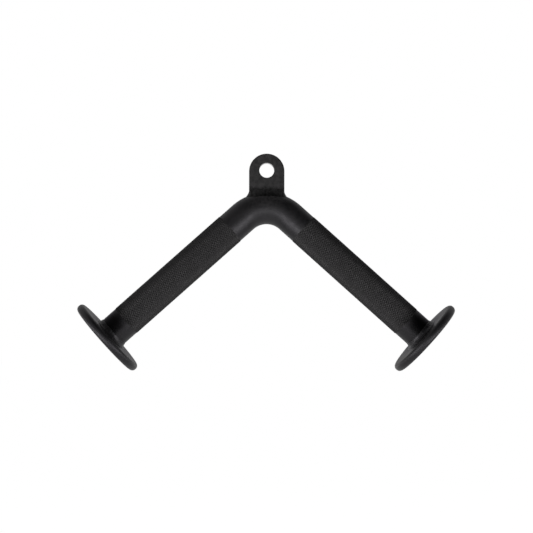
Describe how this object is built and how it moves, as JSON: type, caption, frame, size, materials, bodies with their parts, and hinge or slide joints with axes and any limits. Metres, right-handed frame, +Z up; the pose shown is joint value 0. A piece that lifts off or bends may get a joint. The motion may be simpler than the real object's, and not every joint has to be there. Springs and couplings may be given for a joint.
{
  "type": "tricep pushdown handle",
  "caption": "V-shaped two-hand cable handle: a bent steel tube with knurled grips, a round disc closing each end, and an upright eye plate on the bend.",
  "frame": {"origin": "centre of the hole in the eye plate", "axes": "+X across the handle from the left disc to the right disc, +Y along the eye's hole to the back, +Z up from the bend to the eye"},
  "size_m": [0.3784, 0.085, 0.2184],
  "materials": {
    "powder_coat": "satin black powder coat on steel"
  },
  "bodies": {
    "root": {"bent_tube": "powder_coat", "lug_plate": "powder_coat", "lug_weld_front": "powder_coat", "lug_weld_rear": "powder_coat", "end_disc_left": "powder_coat", "end_disc_right": "powder_coat", "disc_weld_left": "powder_coat", "disc_weld_right": "powder_coat"}
  },
  "joints": []
}
